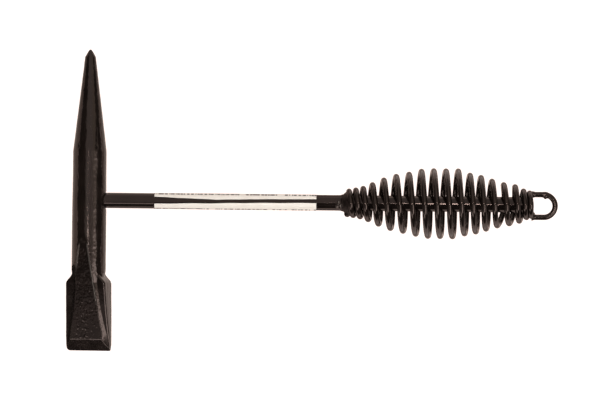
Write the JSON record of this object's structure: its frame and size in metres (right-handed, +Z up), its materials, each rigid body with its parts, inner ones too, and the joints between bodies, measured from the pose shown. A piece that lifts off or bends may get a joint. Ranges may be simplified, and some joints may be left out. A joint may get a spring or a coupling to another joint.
{
  "type": "welder's chipping hammer",
  "caption": "Chipping hammer with a pointed pick, a broad chisel and a barrel-shaped coil-spring grip, for knocking slag off welds.",
  "frame": {"origin": "middle of the spring grip on the handle's axis, where a hand holds the hammer", "axes": "+X along the handle from the head towards the hanging loop, +Y towards the pick point, +Z up with the hammer lying on its side"},
  "size_m": [0.2996, 0.1837, 0.0419],
  "materials": {
    "head_enamel": "glossy black enamel over a rough forging",
    "handle_enamel": "glossy black enamel on smooth bar and wire",
    "weld_enamel": "glossy black enamel over rippled weld metal",
    "label_paper": "warm white coated paper"
  },
  "bodies": {
    "root": {"chipping_head": "head_enamel", "eye_plug_weld": "weld_enamel", "handle_rod": "handle_enamel", "paper_label": "label_paper", "spring_grip": "handle_enamel", "front_spring_weld": "weld_enamel", "rear_spring_weld": "weld_enamel", "hanging_loop": "handle_enamel", "loop_welds": "weld_enamel"}
  },
  "joints": []
}
